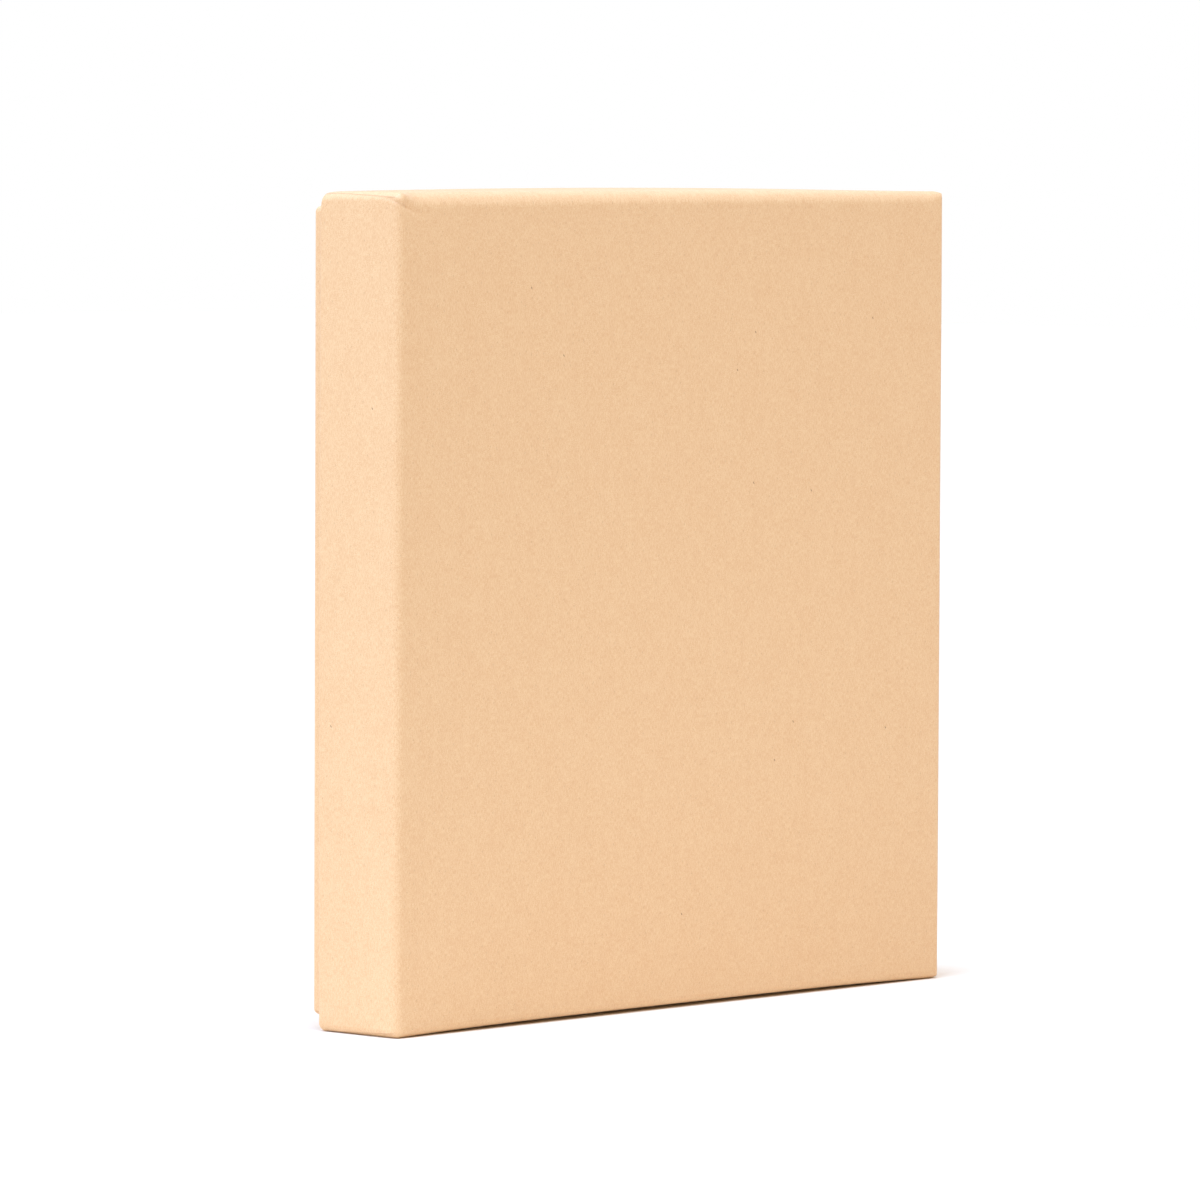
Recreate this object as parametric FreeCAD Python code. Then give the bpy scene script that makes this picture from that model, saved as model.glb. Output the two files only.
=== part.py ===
import FreeCAD, Part
import math
import os

# A plain set-up box for a board game: a shallow lid telescoped over a base, standing on one edge.
# Each half is a scored greyboard tray, paper stays on its corners, one folded wrap and a lining.
# Millimetres, +Z up, lid panel towards -Y, origin under the middle of the closed box.

# Closed box
LID_WIDTH = 200.0
LID_HEIGHT = 200.0
LID_DEPTH = 25.8
BOX_DEPTH = 31.4

# Sheet thicknesses
BOARD = 2.0
WRAP = 0.2
LINING = 0.2
STAY = 0.15

# Fit of the lid over the base, per side
FIT_GAP = 1.0

# Wrap: turned over the rim, mitred at the corners, its side flaps laid over the ears
TURN_IN = 14.0
TURN_IN_MITRE = 5.0
TURN_IN_CORNER_GAP = 1.0
SEAM_SETBACK = 0.6
EAR_PAST_STAY = 2.0

# Corners of the board: slit where two walls meet, held by a paper stay
SLIT = 0.3
STAY_LEG = 10.0
STAY_END_GAP = 1.0

# Lining: let in from the walls by this much
LINING_MARGIN = 1.0

# The board folds about its inner edge, so its outer fold is as round as the board is thick
BOARD_FOLD = BOARD
WRAP_FOLD = BOARD_FOLD + WRAP

# The base fills the lid's mouth less the fit, and its rim stands on the lid's lining
WALL_BUILD_UP = WRAP + BOARD + WRAP
PANEL_BUILD_UP = WRAP + BOARD + LINING
BASE_WIDTH = LID_WIDTH - 2 * (WALL_BUILD_UP + FIT_GAP)
BASE_HEIGHT = LID_HEIGHT - 2 * (WALL_BUILD_UP + FIT_GAP)
BASE_DEPTH = BOX_DEPTH - PANEL_BUILD_UP

SIDES = {"left": -1, "right": 1}
LEVELS = {"bottom": -1, "top": 1}
AXIS_Y = FreeCAD.Vector(0, 1, 0)
AXIS_Z = FreeCAD.Vector(0, 0, 1)
ORIGIN = FreeCAD.Vector(0, 0, 0)


def block(width, height, y_from, y_to):
    """Plain block centred in X and Z, between two planes across Y."""
    corner = FreeCAD.Vector(-width / 2, y_from, -height / 2)
    return Part.makeBox(width, y_to - y_from, height, corner)


def folded_block(width, height, y_from, y_to, fold):
    """Block with its panel face at y_from, rounded round the panel and down the four corners."""
    plain = block(width, height, y_from, y_to)
    three_quarters = (y_from + 3 * y_to) / 4
    round_edges = [edge for edge in plain.Edges if edge.CenterOfMass.y < three_quarters]
    return plain.makeFillet(fold, round_edges)


def board_former(width, height, depth):
    """Outside of the folded board, still solid, let in on the side walls under the wrap's ears."""
    y_panel = WRAP
    y_rim = depth - WRAP
    board_height = height - 2 * WRAP
    core = folded_block(width - 4 * WRAP, board_height, y_panel, y_rim, BOARD_FOLD)
    full = folded_block(width - 2 * WRAP, board_height, y_panel, y_rim, BOARD_FOLD)
    ear = STAY_LEG + EAR_PAST_STAY
    between_ears = block(width, board_height - 2 * ear, y_panel, y_rim)
    return core, core.fuse(full.common(between_ears)).removeSplitter()


def corner_stay(core, width, height, depth, side, level):
    """Paper tape round one corner of the board, pressed flush with its outside."""
    core_width = width - 4 * WRAP
    core_height = height - 2 * WRAP
    inset = folded_block(core_width - 2 * STAY, core_height - 2 * STAY,
                         WRAP + STAY, depth - WRAP, BOARD_FOLD - STAY)
    y_from = WRAP + BOARD_FOLD + STAY_END_GAP
    y_to = depth - WRAP - STAY_END_GAP
    reach = block(2 * STAY_LEG, 2 * STAY_LEG, y_from, y_to)
    reach.translate(FreeCAD.Vector(side * core_width / 2, 0, level * core_height / 2))
    return core.cut(inset).common(reach)


def corner_slit(width, height, depth, side, level):
    """Thin cut on the mitre between two walls, from the rim down to the panel."""
    inner_x = width / 2 - WRAP - BOARD
    inner_z = height / 2 - WRAP - BOARD
    y_from = WRAP + BOARD
    cut = Part.makeBox(2 * BOARD + SLIT, depth - y_from, SLIT, FreeCAD.Vector(-SLIT, y_from, -SLIT / 2))
    cut.rotate(ORIGIN, AXIS_Y, -math.degrees(math.atan2(level, side)))
    cut.translate(FreeCAD.Vector(side * inner_x, 0, level * inner_z))
    return cut


def folded_board(former, stays, width, height, depth):
    """The greyboard tray: one scored blank with its four walls folded up."""
    inner_width = width - 2 * (WRAP + BOARD)
    inner_height = height - 2 * (WRAP + BOARD)
    hollow = block(inner_width, inner_height, WRAP + BOARD, depth)
    slits = [corner_slit(width, height, depth, side, level)
             for side in SIDES.values() for level in LEVELS.values()]
    return former.cut([hollow] + slits + stays)


def turn_in(length, wall_inside, depth):
    """Strip of wrap turned over the rim of the +Z wall, its ends mitred."""
    y_rim = depth - WRAP
    y_end = y_rim - TURN_IN
    rim_half = length / 2 - TURN_IN_CORNER_GAP
    end_half = rim_half - TURN_IN_MITRE
    outline = [(-rim_half, y_rim), (rim_half, y_rim), (end_half, y_end), (-end_half, y_end)]
    corners = [FreeCAD.Vector(x, y, wall_inside - WRAP) for x, y in outline]
    strip = Part.Face(Part.makePolygon(corners + corners[:1]))
    return strip.extrude(FreeCAD.Vector(0, 0, WRAP))


def folded_wrap(former, width, height, depth):
    """One sheet of paper: panel, four walls, ears under the side flaps, rim and turn-ins."""
    under_flaps = folded_block(width - 2 * WRAP, height, 0, depth, WRAP_FOLD)
    flaps = folded_block(width, height, 0, depth, WRAP_FOLD)
    flap_band = block(width, height - 2 * SEAM_SETBACK, 0, depth)
    outside = under_flaps.fuse(flaps.common(flap_band)).removeSplitter()

    inner_width = width - 2 * (WRAP + BOARD)
    inner_height = height - 2 * (WRAP + BOARD)
    mouth = block(inner_width - 2 * WRAP, inner_height - 2 * WRAP, depth - WRAP, depth)
    sheet = outside.cut([former, mouth])

    strips = []
    for quarter in range(4):
        across = quarter % 2
        length = inner_height if across else inner_width
        wall_inside = (inner_width if across else inner_height) / 2
        strip = turn_in(length, wall_inside, depth)
        strip.rotate(ORIGIN, AXIS_Y, 90 * quarter)
        strips.append(strip)
    return sheet.fuse(strips).removeSplitter()


def panel_lining(width, height):
    """Sheet glued over the inside of the panel, between the walls."""
    inset = 2 * (WRAP + BOARD + LINING_MARGIN)
    return block(width - inset, height - inset, WRAP + BOARD, WRAP + BOARD + LINING)


def tray(width, height, depth):
    """All the pieces of one half, panel at y = 0 and open towards +Y, centred in X and Z."""
    core, former = board_former(width, height, depth)
    stays = {(side, level): corner_stay(core, width, height, depth, side, level)
             for side in SIDES.values() for level in LEVELS.values()}
    return {
        "board": folded_board(former, list(stays.values()), width, height, depth),
        "wrap": folded_wrap(former, width, height, depth),
        "lining": panel_lining(width, height),
        "stays": stays,
    }


def write_half(half, pieces, panel_y, turn):
    """Stand one half up in the closed box and write its pieces; turn is 0 or 180 about Z."""
    def write(name, shape):
        placed = shape.copy()
        placed.rotate(ORIGIN, AXIS_Z, turn)
        placed.translate(FreeCAD.Vector(0, panel_y, LID_HEIGHT / 2))
        placed.exportStep(f"parts/{half}_{name}.step")
        print(f"{half}_{name}: {len(placed.Solids)} solid, {placed.Volume / 1000:.2f} cm3,"
              f" valid {placed.isValid()}")

    for name in ("board", "wrap", "lining"):
        write(name, pieces[name])
    facing = 1 if turn == 0 else -1
    for side_name, side in SIDES.items():
        for level_name, level in LEVELS.items():
            write(f"corner_stay_{level_name}_{side_name}", pieces["stays"][(facing * side, level)])


os.makedirs("parts", exist_ok=True)
write_half("lid", tray(LID_WIDTH, LID_HEIGHT, LID_DEPTH), -BOX_DEPTH / 2, 0)
write_half("base", tray(BASE_WIDTH, BASE_HEIGHT, BASE_DEPTH), BOX_DEPTH / 2, 180)
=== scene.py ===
import math

import bmesh
import bpy
import numpy as np
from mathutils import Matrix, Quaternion, Vector, noise


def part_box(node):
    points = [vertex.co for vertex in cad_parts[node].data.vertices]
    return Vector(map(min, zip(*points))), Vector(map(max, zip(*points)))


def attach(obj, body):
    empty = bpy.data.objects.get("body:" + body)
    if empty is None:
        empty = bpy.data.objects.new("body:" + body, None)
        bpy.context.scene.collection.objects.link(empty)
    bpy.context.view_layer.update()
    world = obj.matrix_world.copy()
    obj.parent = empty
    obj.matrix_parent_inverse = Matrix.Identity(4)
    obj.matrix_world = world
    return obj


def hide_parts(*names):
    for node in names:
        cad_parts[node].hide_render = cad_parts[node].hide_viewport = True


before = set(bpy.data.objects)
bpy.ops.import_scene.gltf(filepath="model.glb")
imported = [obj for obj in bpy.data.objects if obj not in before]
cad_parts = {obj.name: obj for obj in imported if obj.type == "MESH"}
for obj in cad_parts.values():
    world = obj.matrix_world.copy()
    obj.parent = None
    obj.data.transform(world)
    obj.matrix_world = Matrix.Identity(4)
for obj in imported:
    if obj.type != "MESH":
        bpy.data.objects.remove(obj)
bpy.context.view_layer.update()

# A plain kraft game box on its edge: lid over base, each a folded board under one folded sheet of paper.
MM = 0.001

# Sheet thicknesses and fold, from the solids
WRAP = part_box("lid_board")[0].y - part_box("lid_wrap")[0].y
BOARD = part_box("lid_lining")[0].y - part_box("lid_board")[0].y
FOLD = BOARD + WRAP
WALL = WRAP + BOARD + WRAP

# The base's folds are sharper than the lid's
BASE_FOLD = 1.5 * MM

# Wrap: how it turns over the rim and where its side flaps end on the rounded corners
RIM_FOLD = 0.5 * MM
TURN_IN = 14.0 * MM
TURN_IN_MITRE = 5.0 * MM
TURN_IN_CORNER_GAP = 1.0 * MM
TURN_IN_GAP_FULL_BY = 0.25
SEAM_AT_PANEL = math.radians(30)
SEAM_AT_RIM = math.radians(74)

# An ear starts to dip under its flap at this share of the panel's fold
EAR_FROM = 0.3

# Mesh steps
SIDE_STEPS = 112
SIDE_GRADING = 2.8
FOLD_STEPS = 14
WALL_STEPS = 16
FLAP_STEPS = 8
EAR_STEPS = 8
RIM_STEPS = 4
TURN_IN_STEPS = 8

# Cuts through the lid's board and stays, so that they can follow its shape
EVEN_CUTS = 50
EVEN_CUTS_REACH = 0.49
FINE_CUTS = np.arange(0.6, 7.0, 0.4) * MM
RIM_CUTS = np.arange(0.8, 9.0, 0.8) * MM

# Points this close are one, faces this nearly level are one, and edges steeper than these stay sharp
ONE_POINT = 0.001 * MM
ONE_FACE = math.radians(0.1)
SHARP_PAPER = math.radians(48)
SHARP_BOARD = math.radians(30)

# Keeps a division away from zero
TINY = MM * MM

# How far the lid's walls bow between their corners: top and sides outward, the bottom up off the floor
BOW_TOP = 0.83 * MM
BOW_BOTTOM = 0.8 * MM
BOW_SIDE = 0.15 * MM

# Share of the bow that is left beside the panel, and how far out towards a wall it starts and is full
BOW_BY_PANEL = 0.35
BOW_FROM = 0.7
BOW_FULL = 0.97

# The lid's fold along the top is rounder than its other folds; the sheet slides a little way to make room
TOP_FOLD_LEFT = 4.2 * MM
TOP_FOLD_RIGHT = 3.4 * MM
TOP_FOLD_REACH = 14.0 * MM

# That rounding is full this far in from the side walls, and sets in over this share of the fold
TOP_FOLD_FULL_AT = 3 * FOLD
TOP_FOLD_BLEND = 0.5

# The lid's right-hand corners are pressed this much of the way from round to square
SQUARED = 0.7

# The lid's top left corner has been knocked: panel pressed in beside the fold, rim pushed down
KNOCKED = np.array((-1, 1))
KNOCK_AT = np.array((3.3, 0.0, 2.7)) * MM
KNOCK_STEEP = 0.9 * MM
KNOCK_GENTLE = 5.0 * MM
KNOCK_HEIGHT = 1.2 * MM
KNOCK_DEPTH = 0.6 * MM
CRUSH_REACH = 3.0 * MM
CRUSH = np.array((0.25, -0.2, -0.45)) * MM

# A crease runs across it, measured in from the side wall, the panel and the top
CREASE_PATH = np.array([(0.1, 3.6, 1.4), (0.4, 1.0, 2.2), (1.4, 0.2, 2.8), (2.8, 0.0, 3.3)]) * MM
CREASE_DEPTH = 0.28 * MM
CREASE_WIDTH = 0.45 * MM
# How strongly the crease is darkened, as a share of the seam mark: painted shade in the crease, with some
# dirt
CREASE_SHADE_AND_DIRT = 0.4

# The panels aren't quite flat
PANEL_UNEVEN = 0.05 * MM
PANEL_UNEVEN_SIZE = 45 * MM

# Camera, fitted to the photograph's outline
CAMERA_AIM = Vector((-6.3, 5.2, 99.6)) * MM
CAMERA_AZIMUTH = math.radians(-47.61)
CAMERA_PITCH = math.radians(3.206)
CAMERA_ROLL = math.radians(0.235)
CAMERA_DISTANCE = 1987 * MM
CAMERA_LENS = 242.4
CAMERA_SENSOR = 36.0
CAMERA_NEAR = 0.1
CAMERA_FAR = 100.0


class Half:
    """One half of the box: its outside sizes and fold, its panel's middle, and which way along Y it opens."""

    def __init__(self, name, opens, fold):
        low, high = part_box(f"{name}_wrap")
        self.name = name
        self.opens = opens
        self.fold = fold
        self.width, self.depth, self.height = high - low
        panel_y = low.y if opens > 0 else high.y
        self.centre = np.array(((low.x + high.x) / 2, panel_y, (low.z + high.z) / 2))

    def to_frame(self, points):
        """From the half's own coordinates, with y running from the panel to the rim, to the frame's."""
        return points * (1, self.opens, 1) + self.centre

    def from_frame(self, points):
        return (points - self.centre) * (1, self.opens, 1)


LID = Half("lid", 1, FOLD)
BASE = Half("base", -1, BASE_FOLD)


def smoothstep(low, high, value):
    t = np.clip((value - low) / (high - low), 0, 1)
    return t * t * (3 - 2 * t)


def softened(half, points):
    """The points near the top fold after it has been rounded further."""
    x, y, z = points.T
    inset = half.height / 2 - z
    on_wall = np.clip(1 - inset / FOLD, 0, 1)
    on_panel = np.clip(1 - y / FOLD, 0, 1)
    top_fold = TOP_FOLD_LEFT + (TOP_FOLD_RIGHT - TOP_FOLD_LEFT) * (x / half.width + 0.5)
    extra = (top_fold - FOLD) * smoothstep(FOLD, TOP_FOLD_FULL_AT, half.width / 2 - abs(x))
    moved = points.copy()
    down = extra * (1 - on_wall) * smoothstep(0, TOP_FOLD_BLEND, on_panel)
    moved[:, 2] -= down * (1 - smoothstep(FOLD, TOP_FOLD_REACH, inset))
    back = extra * (1 - on_panel) * smoothstep(0, TOP_FOLD_BLEND, on_wall)
    moved[:, 1] += back * (1 - smoothstep(FOLD, TOP_FOLD_REACH, y))
    return moved


def from_the_corner(half, points):
    """How far in each point is from the nearest corner: from its side wall, the panel and its end wall."""
    return np.array((half.width / 2, 0, half.height / 2)) + np.abs(points) * (-1, 1, -1)


def distance_to_path(points, path):
    """Distance of each point to a line through the path's points."""
    best = np.full(len(points), np.inf)
    for start, end in zip(path[:-1], path[1:]):
        along = end - start
        t = np.clip((points - start) @ along / (along @ along), 0, 1)
        best = np.minimum(best, np.linalg.norm(points - start - t[:, None] * along, axis=1))
    return best


def crease(half, points):
    """1 along the crease across the lid's knocked corner, fading to 0 beside it."""
    quarter = np.all(points[:, ::2] * KNOCKED > 0, axis=1) * (half is LID)
    away = distance_to_path(from_the_corner(half, points), CREASE_PATH)
    return quarter * np.exp(-(away / CREASE_WIDTH) ** 2)


def inward_from(half, points):
    """Unit vectors from points on the outside towards the middle of the nearest fold."""
    middle = np.clip(points, (FOLD - half.width / 2, FOLD, FOLD - half.height / 2),
                     (half.width / 2 - FOLD, FOLD, half.height / 2 - FOLD))
    towards = middle - points
    return towards / np.maximum(np.linalg.norm(towards, axis=1, keepdims=True), TINY)


def knocked(half, points):
    """How far paper and board alike have moved at the knocked corner."""
    quarter = np.all(points[:, ::2] * KNOCKED > 0, axis=1)
    across, _, down = (from_the_corner(half, points) - KNOCK_AT).T
    across = across / np.where(across < 0, KNOCK_STEEP, KNOCK_GENTLE)
    pressed = KNOCK_DEPTH * np.exp(-across ** 2 - (down / KNOCK_HEIGHT) ** 2)
    moved = CREASE_DEPTH * crease(half, points)[:, None] * inward_from(half, points)
    moved[:, 1] += quarter * pressed * (1 - smoothstep(WRAP, FOLD, points[:, 1]))
    rim_corner = np.array((KNOCKED[0] * half.width / 2, half.depth, KNOCKED[1] * half.height / 2))
    near = np.exp(-(np.linalg.norm(points - rim_corner, axis=1) / CRUSH_REACH) ** 2)
    return moved + near[:, None] * CRUSH


def squared(half, points):
    """How far the points of the right-hand rounded corners move out towards square ones."""
    middle = np.array((half.width, half.height)) / 2 - FOLD
    beyond = np.clip(np.abs(points[:, ::2]) - middle, 0, None)
    radius = np.linalg.norm(beyond, axis=1)
    stretch = SQUARED * (radius / np.maximum(beyond.max(axis=1), TINY) - 1) * (points[:, 0] > 0)
    moved = np.zeros_like(points)
    moved[:, ::2] = np.sign(points[:, ::2]) * beyond * stretch[:, None]
    return moved


def sprung(half, points):
    """The lid's points once its corners are worn and its walls bowed; the base's stay as they are."""
    if half is not LID:
        return points
    moved = softened(half, points) + knocked(half, points) + squared(half, points)
    x, y, z = points.T
    across, up = 2 * x / half.width, 2 * z / half.height
    span = x / (half.width / 2 - FOLD)
    towards_rim = BOW_BY_PANEL + (1 - BOW_BY_PANEL) * y / half.depth
    top_arch = np.clip(1 - span ** 2, 0, 1) * towards_rim
    bottom_arch = np.clip(1 - span ** 4, 0, 1)
    side_arch = np.clip(1 - up ** 2, 0, 1) * towards_rim
    moved[:, 2] += BOW_TOP * top_arch * smoothstep(BOW_FROM, BOW_FULL, up)
    moved[:, 2] += BOW_BOTTOM * bottom_arch * smoothstep(BOW_FROM, BOW_FULL, -up)
    moved[:, 0] += np.sign(x) * BOW_SIDE * side_arch * smoothstep(BOW_FROM, BOW_FULL, abs(across))
    return moved


# The wrap, laid out as rings round the half and strips turned in over the rim

def side_places():
    """Places along a side from -1 to 1, close together near its ends."""
    t = np.linspace(-1, 1, SIDE_STEPS + 1)
    return np.sign(t) * (1 - (1 - abs(t)) ** SIDE_GRADING)


PLACES = side_places()


def quarter_angles(steps):
    return [math.pi / 2 * k / steps for k in range(1, steps + 1)]


def profile(half, sunk):
    """(inset, y) of each ring from the panel's edge over the rim; sunk is 0 outside, WRAP when glued."""
    fold = half.fold - sunk
    rim = RIM_FOLD - sunk
    rim_y = half.depth - RIM_FOLD
    rim_end = WALL - RIM_FOLD
    fold_turn = quarter_angles(FOLD_STEPS)
    rim_turn = quarter_angles(RIM_STEPS)
    rows = [(half.fold - fold * math.sin(a), half.fold - fold * math.cos(a)) for a in fold_turn]
    rows += [(sunk, y) for y in np.linspace(half.fold, rim_y, WALL_STEPS + 1)[1:]]
    rows += [(RIM_FOLD - rim * math.cos(a), rim_y + rim * math.sin(a)) for a in rim_turn]
    rows += [(d, half.depth - sunk) for d in np.linspace(RIM_FOLD, rim_end, RIM_STEPS)[1:]]
    rows += [(rim_end + rim * math.sin(a), rim_y + rim * math.cos(a)) for a in rim_turn]
    return rows


def seam_angle(half, y):
    """Where round a corner the side flap's cut edge lies: low by the panel, near the top by the rim."""
    t = np.clip((y - half.fold) / (half.depth - half.fold), 0, 1)
    return SEAM_AT_PANEL + (SEAM_AT_RIM - SEAM_AT_PANEL) * t


def corner_angles(seam):
    """Angles round a corner from the side wall, and which of them lie on the ear under the flap."""
    flap = np.linspace(0, seam, FLAP_STEPS + 1)[1:]
    ear = np.linspace(seam, math.pi / 2, EAR_STEPS + 1)[:-1]
    on_ear = np.repeat([0.0, 1.0], [FLAP_STEPS, EAR_STEPS])
    return np.concatenate([flap, ear]), on_ear


def round_the_half(right, corner, top):
    """One closed ring from its right side, its top right corner and its top side."""
    top_left = corner[::-1] * (-1, 1)
    bottom_right = corner[::-1] * (1, -1)
    return np.concatenate([right, corner, top, top_left, -right, -corner, -top, bottom_right])


def ring(half, inset, y, sunk):
    """x and z of one ring. The ear lies a paper's thickness under the flap that covers it."""
    flat_x = half.width / 2 - max(half.fold, inset)
    flat_z = half.height / 2 - max(half.fold, inset)
    angle, on_ear = corner_angles(seam_angle(half, y))
    under_flap = (WRAP - sunk) * smoothstep(EAR_FROM * half.fold, half.fold, y)
    radius = np.maximum(max(half.fold - inset, 0) - under_flap * on_ear * np.cos(angle), 0)
    right = np.stack([np.full_like(PLACES, half.width / 2 - inset), PLACES * flat_z], 1)
    top = np.stack([-PLACES * flat_x, np.full_like(PLACES, half.height / 2 - inset)], 1)
    corner = np.stack([flat_x + radius * np.cos(angle), flat_z + radius * np.sin(angle)], 1)
    return round_the_half(right, corner, top)


def unrolled_ring(half, run, y):
    """The same ring on the flat sheet of paper, so that the grain runs on over the folds."""
    flat_x = half.width / 2 - half.fold
    flat_z = half.height / 2 - half.fold
    angle, on_ear = corner_angles(seam_angle(half, y))
    right = np.stack([np.full_like(PLACES, flat_x + run), PLACES * flat_z], 1)
    top = np.stack([-PLACES * flat_x, np.full_like(PLACES, flat_z + run)], 1)
    on_flap = np.stack([np.full_like(angle, flat_x + run), flat_z + half.fold * angle], 1)
    ear = np.stack([flat_x + half.fold * (math.pi / 2 - angle), np.full_like(angle, flat_z + run)], 1)
    return round_the_half(right, np.where(on_ear[:, None] > 0, ear, on_flap), top)


def seam_line(y):
    """1 where a ring crosses the cut edge of a side flap: the flap's last two points and the ear's first. The
    paper is darkened there as a painted shade line at the edge.
    """
    side = np.zeros(SIDE_STEPS + 1)
    corner = np.zeros(FLAP_STEPS + EAR_STEPS)
    corner[FLAP_STEPS - 2:FLAP_STEPS + 1] = smoothstep(EAR_FROM * FOLD, FOLD, y)
    return np.concatenate([side, corner, side, corner[::-1]] * 2)


def panel_grid(half):
    flat = np.array((half.width / 2 - half.fold, half.height / 2 - half.fold))
    x, z = np.meshgrid(PLACES * flat[0], PLACES * flat[1])
    return np.stack([x.ravel(), z.ravel()], 1)


def panel_edge():
    """For each place on a ring, the panel grid's point that it meets."""
    n = SIDE_STEPS + 1
    index = np.arange(n * n).reshape(n, n)
    corner = FLAP_STEPS + EAR_STEPS
    sides = [index[:, -1], index[-1, ::-1], index[::-1, 0], index[0, :]]
    ends = [index[-1, -1], index[-1, 0], index[0, 0], index[0, -1]]
    return np.concatenate([part for side, end in zip(sides, ends) for part in (side, np.full(corner, end))])


def turn_in_strip(half, side, step, sunk):
    """x and z of one row of the strip on one inner wall; sides go right, top, left, bottom."""
    upright = side % 2 == 0
    wall = (half.width if upright else half.height) / 2 - WALL + sunk
    full = (half.height if upright else half.width) / 2 - WALL
    cut_back = TURN_IN_CORNER_GAP * min(1, step / TURN_IN_GAP_FULL_BY) + TURN_IN_MITRE * step
    along = PLACES * (full - cut_back)
    on_wall = np.full_like(along, wall)
    row = np.stack([on_wall, along] if upright else [-along, on_wall], 1)
    return row if side < 2 else -row


def wrap_layer(half, sunk):
    """Points and flat-sheet places of one side of the paper, where its seams are, and its faces."""
    n = SIDE_STEPS + 1
    grid = panel_grid(half)
    points = [np.insert(grid, 1, sunk, axis=1)]
    sheet = [grid]
    seam = [np.zeros(len(grid))]
    faces = [(r * n + c, (r + 1) * n + c, (r + 1) * n + c + 1, r * n + c + 1)
             for r in range(SIDE_STEPS) for c in range(SIDE_STEPS)]
    rows = profile(half, sunk)
    count = len(grid)
    before = panel_edge()
    run = 0.0
    last = (half.fold, sunk)
    for inset, y in rows:
        run += math.hypot(inset - last[0], y - last[1])
        last = (inset, y)
        xz = ring(half, inset, y, sunk)
        points.append(np.insert(xz, 1, y, axis=1))
        sheet.append(unrolled_ring(half, run, y))
        seam.append(seam_line(y))
        here = count + np.arange(len(xz))
        count += len(xz)
        faces += zip(before, np.roll(before, -1), np.roll(here, -1), here)
        before = here

    side_length = n + FLAP_STEPS + EAR_STEPS
    rim_sheet = sheet[-1]
    y_start = half.depth - RIM_FOLD
    for side, outward in enumerate(np.array([(1, 0), (0, 1), (-1, 0), (0, -1)])):
        along_rim = slice(side * side_length, side * side_length + n)
        row_before = before[along_rim]
        for k in range(1, TURN_IN_STEPS + 1):
            step = k / TURN_IN_STEPS
            xz = turn_in_strip(half, side, step, sunk)
            points.append(np.insert(xz, 1, y_start - step * (TURN_IN - RIM_FOLD), axis=1))
            sheet.append(rim_sheet[along_rim] + outward * step * TURN_IN)
            seam.append(np.zeros(n))
            here = count + np.arange(n)
            count += n
            faces += zip(row_before[:-1], row_before[1:], here[1:], here[:-1])
            row_before = here
    return np.concatenate(points), np.concatenate(sheet), np.concatenate(seam), faces


def uneven(points):
    """The panel's slight unevenness, in y only."""
    wave = np.array([noise.noise(Vector(p) / PANEL_UNEVEN_SIZE) for p in points])
    moved = points.copy()
    moved[:, 1] += PANEL_UNEVEN * wave * (points[:, 1] < FOLD)
    return moved


def boundary_edges(faces):
    """Directed edges that belong to one face only."""
    edges = [(a, b) for face in faces for a, b in zip(face, face[1:] + face[:1])]
    known = set(edges)
    return [(a, b) for a, b in edges if a != b and (b, a) not in known]


def mesh_object(name, points, faces):
    mesh = bpy.data.meshes.new(name)
    mesh.from_pydata(points.tolist(), [], faces)
    piece = bpy.data.objects.new(name, mesh)
    bpy.context.scene.collection.objects.link(piece)
    return piece


def cleaned(piece):
    """Merge points that fell together, turn the faces outward and keep only cut edges sharp."""
    made = bmesh.new()
    made.from_mesh(piece.data)
    bmesh.ops.remove_doubles(made, verts=made.verts, dist=ONE_POINT)
    bmesh.ops.recalc_face_normals(made, faces=made.faces)
    made.to_mesh(piece.data)
    made.free()
    piece.data.shade_smooth()
    piece.data.set_sharp_from_angle(angle=SHARP_PAPER)


def wrap_piece(half):
    """One folded sheet of kraft paper with its real thickness, carrying its flat-sheet places."""
    outside, sheet, seam, faces = wrap_layer(half, 0.0)
    inside = wrap_layer(half, WRAP)[0]
    # The crease joins the seams' dark mark: painted shade with some dirt
    seam = np.maximum(seam, CREASE_SHADE_AND_DIRT * crease(half, outside))
    outside = uneven(outside)
    inside = uneven(inside)
    count = len(outside)
    faces = [tuple(int(i) for i in face) for face in faces]
    faces = [tuple(dict.fromkeys(face)) for face in faces]
    faces = [face for face in faces if len(face) > 2]
    glued = [tuple(i + count for i in face[::-1]) for face in faces]
    cut = [(b, a, a + count, b + count) for a, b in boundary_edges(faces)]
    points = half.to_frame(sprung(half, np.concatenate([outside, inside])))
    piece = mesh_object(f"{half.name}_wrap_sheet", points, faces + glued + cut)
    places = np.zeros((2 * count, 3), np.float32)
    places[:, :2] = np.tile(sheet, (2, 1))
    piece.data.attributes.new("sheet", "FLOAT_VECTOR", "POINT").data.foreach_set("vector", places.ravel())
    painted_shade_and_dirt = np.tile(seam, 2).astype(np.float32)
    piece.data.attributes.new("seam", "FLOAT", "POINT").data.foreach_set("value", painted_shade_and_dirt)
    cleaned(piece)
    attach(piece, half.name)
    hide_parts(f"{half.name}_wrap")
    return piece


def cut_places(half):
    """(axis, place) of each cut through a half's pieces: even ones, and close ones near edges and rim."""
    cuts = [(1, half.depth - step) for step in RIM_CUTS]
    for axis, length in ((0, half.width), (2, half.height)):
        even = np.linspace(-EVEN_CUTS_REACH, EVEN_CUTS_REACH, EVEN_CUTS) * length
        near_end = length / 2 - FINE_CUTS
        cuts += [(axis, place) for place in np.concatenate([even, near_end, -near_end])]
    return cuts


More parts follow.
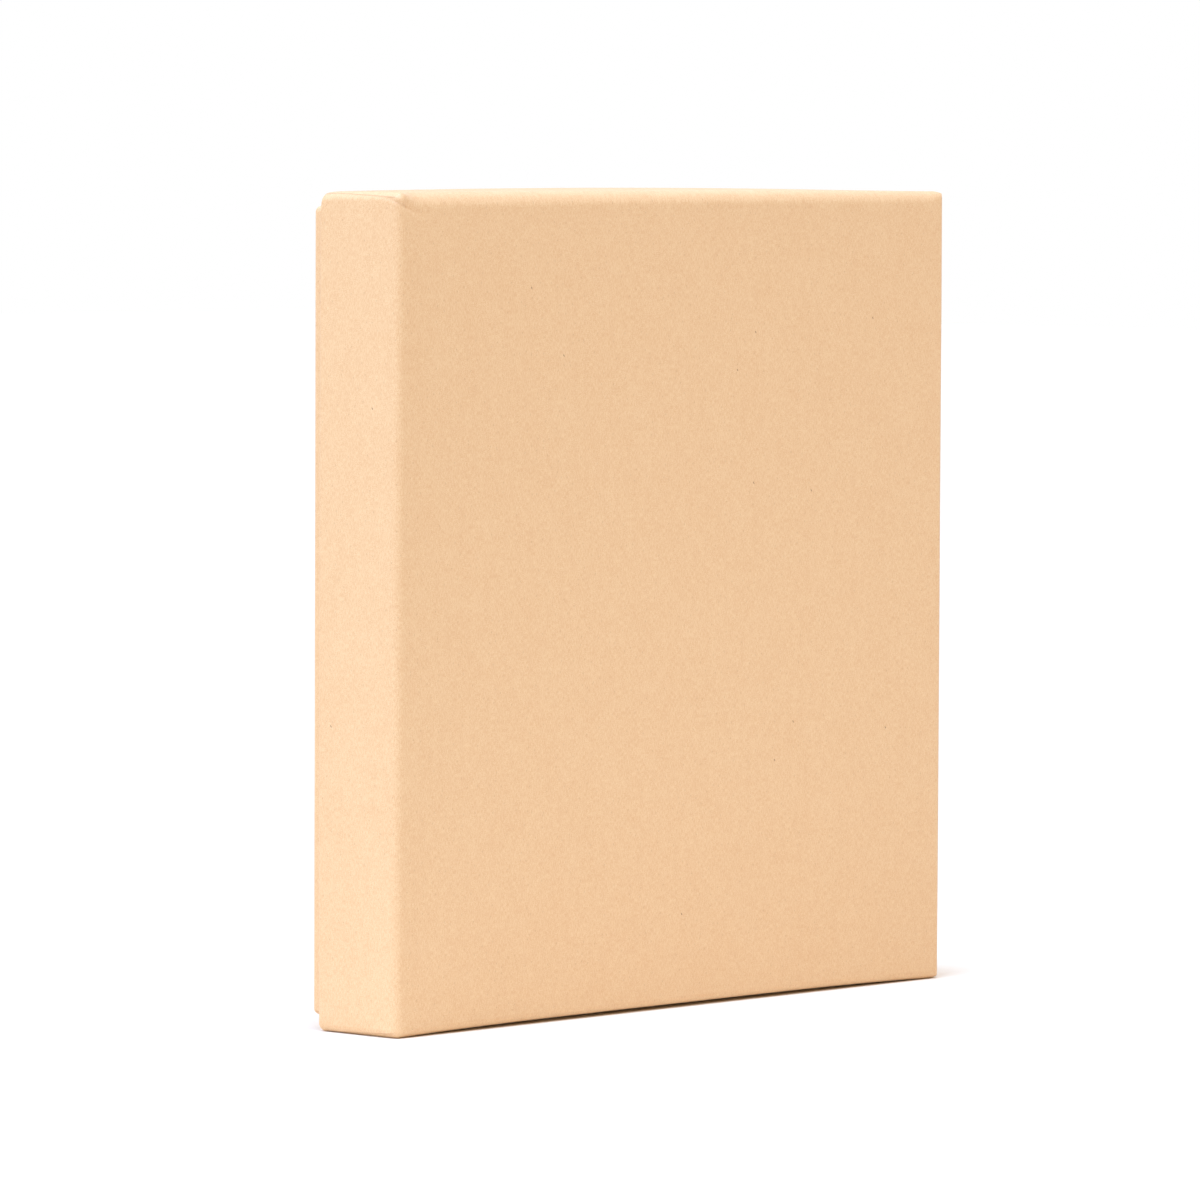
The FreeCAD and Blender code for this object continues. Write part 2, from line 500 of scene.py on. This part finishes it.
def sprung_piece(half, name):
    """A solid's own shape, cut finer so that it follows the worn and bowed lid."""
    made = bmesh.new()
    made.from_mesh(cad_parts[name].data)
    bmesh.ops.remove_doubles(made, verts=made.verts, dist=ONE_POINT)
    bmesh.ops.dissolve_limit(made, angle_limit=ONE_FACE, verts=made.verts, edges=made.edges)
    for axis, place in cut_places(half):
        normal = np.eye(3)[axis]
        on_plane = half.to_frame(normal * place)
        everything = made.verts[:] + made.edges[:] + made.faces[:]
        bmesh.ops.bisect_plane(made, geom=everything, plane_co=on_plane, plane_no=normal)
    bmesh.ops.remove_doubles(made, verts=made.verts, dist=ONE_POINT)
    bmesh.ops.triangulate(made, faces=made.faces)
    mesh = bpy.data.meshes.new(f"{name}_sprung")
    made.to_mesh(mesh)
    made.free()
    points = np.zeros(3 * len(mesh.vertices), np.float32)
    mesh.vertices.foreach_get("co", points)
    points = points.reshape(-1, 3).astype(float)
    moved = half.to_frame(sprung(half, half.from_frame(points)))
    mesh.vertices.foreach_set("co", moved.astype(np.float32).ravel())
    piece = bpy.data.objects.new(mesh.name, mesh)
    bpy.context.scene.collection.objects.link(piece)
    mesh.shade_smooth()
    mesh.set_sharp_from_angle(angle=SHARP_BOARD)
    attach(piece, half.name)
    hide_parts(name)
    return piece


# Materials

# Paper's features: size across, along and through the sheet, detail of the noise, share of the tone
CLOUD_SIZE = (10 * MM, 14 * MM, 10 * MM)
CLOUD_DETAIL = 2.0
CLOUD_TONE = 0.08
FORMATION_SIZE = (2.2 * MM, 3.2 * MM, 2.2 * MM)
FORMATION_DETAIL = 3.0
FORMATION_TONE = 0.20
FIBRE_SIZE = (0.3 * MM, 1.0 * MM, 0.3 * MM)
FIBRE_DETAIL = 2.0
FIBRE_TONE = 0.56
TOOTH_SIZE = (0.18 * MM, 0.24 * MM, 0.18 * MM)
TOOTH_DETAIL = 1.0
TOOTH_TONE = 0.6
MIDDLE_TONE = 0.5
NOISE_ROUGHNESS = 0.55
NOISE_LOW = 0.25
NOISE_HIGH = 0.75

# Faint specks and a few dark flecks: cell that may hold one, size, turn in the sheet, share and strength
SPECK_CELL = 3.0 * MM
SPECK_SIZE = (0.4 * MM, 0.6 * MM, 0.4 * MM)
SPECK_TURN = 10
SPECK_SHARE = 0.28
SPECK_STRENGTH = 0.2
DARK_CELL = 14 * MM
DARK_SIZE = (0.35 * MM, 0.9 * MM, 0.35 * MM)
DARK_TURN = -35
DARK_SHARE = 0.025
DARK_STRENGTH = 0.9
FLECK_EDGE = 0.5
FLECK_CORE = 0.25
# How far the seams and the crease darken towards the fleck colour: painted shade at the flaps' cut edges and
# in the crease, with some dirt in the crease
SEAM_SHADE_STRENGTH = 0.32

# Paper's relief and gloss
FIBRE_RELIEF = 0.6
TOOTH_RELIEF = 0.4
RELIEF_STRENGTH = 0.25
RELIEF_HEIGHT = 0.02 * MM
LEAST_ROUGH = 0.45
MOST_ROUGH = 0.57
SHEEN = 0.25
SHEEN_ROUGHNESS = 0.3


def srgb(red, green, blue):
    """A colour written as 0 to 255, as linear values with alpha."""
    levels = [v / 255 for v in (red, green, blue)]
    return [v / 12.92 if v <= 0.04045 else ((v + 0.055) / 1.055) ** 2.4 for v in levels] + [1.0]


def node(tree, kind, inputs=None, **settings):
    """Make one shader node, set its options, and set or link its inputs."""
    made = tree.nodes.new(kind)
    for name, value in settings.items():
        setattr(made, name, value)
    for key, value in (inputs or {}).items():
        if isinstance(value, bpy.types.NodeSocket):
            tree.links.new(value, made.inputs[key])
        else:
            made.inputs[key].default_value = value
    return made


def maths(tree, operation, first, second):
    return node(tree, "ShaderNodeMath", {0: first, 1: second}, operation=operation).outputs[0]


def stretched(tree, vector, sizes, turn=0.0):
    """Coordinates in which a pattern's features are about these sizes, in metres, turned in the sheet."""
    turned = node(tree, "ShaderNodeVectorRotate", {"Vector": vector, "Angle": math.radians(turn)},
                  rotation_type="Z_AXIS").outputs[0]
    scale = [1 / size for size in sizes]
    return node(tree, "ShaderNodeVectorMath", {0: turned, 1: scale}, operation="MULTIPLY").outputs[0]


def spread_over(tree, value, from_low, from_high, to_low, to_high):
    """A value carried over from one range to another, and held within it."""
    inputs = {"Value": value, "From Min": from_low, "From Max": from_high,
              "To Min": to_low, "To Max": to_high}
    return node(tree, "ShaderNodeMapRange", inputs).outputs[0]


def grain(tree, vector, sizes, detail):
    """Noise about 0, between -1 and 1, with features of these sizes."""
    place = stretched(tree, vector, sizes)
    inputs = {"Vector": place, "Scale": 1.0, "Detail": detail, "Roughness": NOISE_ROUGHNESS}
    made = node(tree, "ShaderNodeTexNoise", inputs)
    return spread_over(tree, made.outputs[0], NOISE_LOW, NOISE_HIGH, -1.0, 1.0)


def weighted(tree, parts):
    """Sum of (noise, weight) pairs."""
    total = None
    for value, weight in parts:
        share = maths(tree, "MULTIPLY", value, weight)
        total = share if total is None else maths(tree, "ADD", total, share)
    return total


def flecks(tree, vector, cell, sizes, share, turn):
    """1 inside scattered flecks, 0 elsewhere; this share of the cells holds a fleck of about these sizes."""
    place = stretched(tree, vector, sizes, turn)
    scale = max(size / cell for size in sizes)
    cells = node(tree, "ShaderNodeTexVoronoi", {"Vector": place, "Scale": scale, "Randomness": 1.0},
                 voronoi_dimensions="2D")
    picked = node(tree, "ShaderNodeSeparateColor", {0: cells.outputs["Color"]}).outputs[0]
    chosen = maths(tree, "LESS_THAN", picked, share)
    inside = spread_over(tree, cells.outputs["Distance"], FLECK_EDGE * scale, FLECK_CORE * scale, 0.0, 1.0)
    return maths(tree, "MULTIPLY", chosen, inside)


def paper(name, pale, deep, fleck, coordinates, contrast=1.0, speck_share=SPECK_SHARE):
    """Uncoated paper: cloudy formation, fibres along the sheet, faint specks, a few dark flecks, matt."""
    material = bpy.data.materials.new(name)
    material.use_nodes = True
    tree = material.node_tree
    shader = tree.nodes["Principled BSDF"]
    vector = coordinates(tree)
    cloud = grain(tree, vector, CLOUD_SIZE, CLOUD_DETAIL)
    formation = grain(tree, vector, FORMATION_SIZE, FORMATION_DETAIL)
    fibre = grain(tree, vector, FIBRE_SIZE, FIBRE_DETAIL)
    tooth = grain(tree, vector, TOOTH_SIZE, TOOTH_DETAIL)
    tone = weighted(tree, [(cloud, CLOUD_TONE * contrast), (formation, FORMATION_TONE * contrast),
                           (fibre, FIBRE_TONE * contrast), (tooth, TOOTH_TONE * contrast)])
    level = node(tree, "ShaderNodeMath", {0: tone, 1: MIDDLE_TONE}, operation="ADD",
                 use_clamp=True).outputs[0]
    body = node(tree, "ShaderNodeMix", {"Factor": level, "A": deep, "B": pale}, data_type="RGBA")
    specks = flecks(tree, vector, SPECK_CELL, SPECK_SIZE, speck_share, SPECK_TURN)
    dark_flecks = flecks(tree, vector, DARK_CELL, DARK_SIZE, DARK_SHARE, DARK_TURN)
    # Painted shade along the side flaps' cut edges and in the crease, with some dirt in the crease, carried
    # by the wrap's seam attribute
    seam = node(tree, "ShaderNodeAttribute", attribute_name="seam").outputs["Fac"]
    marks = maths(tree, "MULTIPLY", specks, SPECK_STRENGTH)
    marks = maths(tree, "MAXIMUM", marks, maths(tree, "MULTIPLY", dark_flecks, DARK_STRENGTH))
    marks = maths(tree, "MAXIMUM", marks, maths(tree, "MULTIPLY", seam, SEAM_SHADE_STRENGTH))
    colour = node(tree, "ShaderNodeMix", {"Factor": marks, "A": body.outputs["Result"], "B": fleck},
                  data_type="RGBA")
    tree.links.new(colour.outputs["Result"], shader.inputs["Base Color"])
    relief = weighted(tree, [(fibre, FIBRE_RELIEF), (tooth, TOOTH_RELIEF)])
    bump = node(tree, "ShaderNodeBump",
                {"Height": relief, "Strength": RELIEF_STRENGTH, "Distance": RELIEF_HEIGHT})
    tree.links.new(bump.outputs[0], shader.inputs["Normal"])
    rough = spread_over(tree, fibre, -1.0, 1.0, LEAST_ROUGH, MOST_ROUGH)
    tree.links.new(rough, shader.inputs["Roughness"])
    shader.inputs["Sheen Weight"].default_value = SHEEN
    shader.inputs["Sheen Roughness"].default_value = SHEEN_ROUGHNESS
    return material


def on_the_sheet(tree):
    return node(tree, "ShaderNodeAttribute", attribute_name="sheet").outputs["Vector"]


def in_the_frame(tree):
    """Places in the object's frame, with the height taken as the way the grain runs."""
    place = node(tree, "ShaderNodeTexCoord").outputs["Object"]
    parts = node(tree, "ShaderNodeSeparateXYZ", {0: place}).outputs
    return node(tree, "ShaderNodeCombineXYZ", {0: parts[0], 1: parts[2], 2: parts[1]}).outputs[0]


# Colours of each paper: pale, deep and fleck
KRAFT_PALE = srgb(244, 208, 162)
KRAFT_DEEP = srgb(231, 185, 136)
KRAFT_FLECK = srgb(162, 106, 72)
LINING_PALE = srgb(236, 202, 164)
LINING_DEEP = srgb(218, 180, 140)
STAY_PALE = srgb(196, 152, 108)
STAY_DEEP = srgb(170, 126, 86)
STAY_FLECK = srgb(120, 84, 54)
GREY_PALE = srgb(176, 168, 156)
GREY_DEEP = srgb(140, 132, 121)
GREY_FLECK = srgb(88, 82, 76)

# How much stronger the others' grain is than the kraft's, and the greyboard's own share of specks
LINING_CONTRAST = 1.1
STAY_CONTRAST = 1.2
GREY_CONTRAST = 1.8
GREY_SPECK_SHARE = 0.25


def dress(name, material):
    """Give a carried-over solid its material."""
    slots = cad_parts[name].data.materials
    slots.clear()
    slots.append(material)


kraft = paper("kraft_paper", KRAFT_PALE, KRAFT_DEEP, KRAFT_FLECK, on_the_sheet)
lining = paper("lining_paper", LINING_PALE, LINING_DEEP, KRAFT_FLECK, in_the_frame, LINING_CONTRAST)
stay_tape = paper("stay_tape", STAY_PALE, STAY_DEEP, STAY_FLECK, in_the_frame, STAY_CONTRAST)
greyboard = paper("greyboard", GREY_PALE, GREY_DEEP, GREY_FLECK, in_the_frame,
                  GREY_CONTRAST, GREY_SPECK_SHARE)

for half in (LID, BASE):
    wrap_piece(half).data.materials.append(kraft)
    dress(f"{half.name}_lining", lining)

sprung_piece(LID, "lid_board").data.materials.append(greyboard)
dress("base_board", greyboard)

stays = [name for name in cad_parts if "corner_stay" in name]
for name in stays:
    if name.startswith("lid"):
        sprung_piece(LID, name).data.materials.append(stay_tape)
    else:
        dress(name, stay_tape)


# Stage, light and camera

FLOOR_REACH = 6.0
FLOOR_WHITE = (0.93, 0.885, 0.79, 1)
AMBIENT = (0.575, 0.435, 0.28, 1)
WHITE = (1, 1, 1, 1)

# A broad cool light from the upper left, and a soft cool pool of light on the floor before the box
KEY_AZIMUTH = math.radians(-94)
KEY_ELEVATION = math.radians(60)
KEY_SPREAD = math.radians(76)
KEY_STRENGTH = 2.68
KEY_COLOUR = (0.72, 1.0, 1.5)
POOL_AT = Vector((-0.01, -0.2, 1.6))
POOL_POWER = 45.0
POOL_CONE = math.radians(32)
POOL_BLEND = 1.0
POOL_SIZE = 0.2
POOL_COLOUR = (0.8, 1.0, 1.3)


def white_floor():
    x, y = np.array([(-1, -1), (1, -1), (1, 1), (-1, 1)]).T * FLOOR_REACH
    floor = mesh_object("floor", np.stack([x, y, 0 * x], 1), [(0, 1, 2, 3)])
    material = bpy.data.materials.new("floor_white")
    material.use_nodes = True
    shader = material.node_tree.nodes["Principled BSDF"]
    shader.inputs["Base Color"].default_value = FLOOR_WHITE
    shader.inputs["Roughness"].default_value = 1.0
    shader.inputs["Specular IOR Level"].default_value = 0.0
    floor.data.materials.append(material)


def white_world():
    """Even, warm light all round; seen directly or in a reflection it is plain white."""
    world = bpy.data.worlds.new("studio")
    bpy.context.scene.world = world
    world.use_nodes = True
    tree = world.node_tree
    ray = node(tree, "ShaderNodeLightPath").outputs
    seen = maths(tree, "MAXIMUM", ray["Is Camera Ray"], ray["Is Glossy Ray"])
    seen = maths(tree, "MAXIMUM", seen, ray["Is Transmission Ray"])
    colour = node(tree, "ShaderNodeMix", {"Factor": seen, "A": AMBIENT, "B": WHITE}, data_type="RGBA")
    tree.links.new(colour.outputs["Result"], tree.nodes["Background"].inputs["Color"])


def direction(azimuth, elevation):
    """Unit vector; azimuth 0 is towards the lid panel's front, negative to its left."""
    flat = math.cos(elevation)
    return Vector((math.sin(azimuth) * flat, -math.cos(azimuth) * flat, math.sin(elevation)))


def key_light():
    """A broad even light from far away, so that the floor is lit alike everywhere."""
    data = bpy.data.lights.new("key", "SUN")
    data.angle = KEY_SPREAD
    data.energy = KEY_STRENGTH
    data.color = KEY_COLOUR
    light = bpy.data.objects.new("key", data)
    light.rotation_mode = "QUATERNION"
    light.rotation_quaternion = (-direction(KEY_AZIMUTH, KEY_ELEVATION)).to_track_quat("-Z", "Y")
    bpy.context.scene.collection.objects.link(light)


def pool_light():
    """Straight down on to the floor before the box, which throws it back at the foot of the panel."""
    data = bpy.data.lights.new("pool", "SPOT")
    data.energy = POOL_POWER
    data.spot_size = POOL_CONE
    data.spot_blend = POOL_BLEND
    data.shadow_soft_size = POOL_SIZE
    data.color = POOL_COLOUR
    light = bpy.data.objects.new("pool", data)
    light.location = POOL_AT
    bpy.context.scene.collection.objects.link(light)


def photo_camera():
    data = bpy.data.cameras.new("photo_camera")
    data.lens = CAMERA_LENS
    data.sensor_width = CAMERA_SENSOR
    data.clip_start = CAMERA_NEAR
    data.clip_end = CAMERA_FAR
    camera = bpy.data.objects.new("photo_camera", data)
    back = direction(CAMERA_AZIMUTH, CAMERA_PITCH)
    camera.location = CAMERA_AIM + back * CAMERA_DISTANCE
    camera.rotation_mode = "QUATERNION"
    camera.rotation_quaternion = (-back).to_track_quat("-Z", "Y") @ Quaternion((0, 0, 1), CAMERA_ROLL)
    bpy.context.scene.collection.objects.link(camera)
    bpy.context.scene.camera = camera


white_floor()
white_world()
key_light()
pool_light()
photo_camera()
bpy.context.scene.view_settings.view_transform = "Standard"
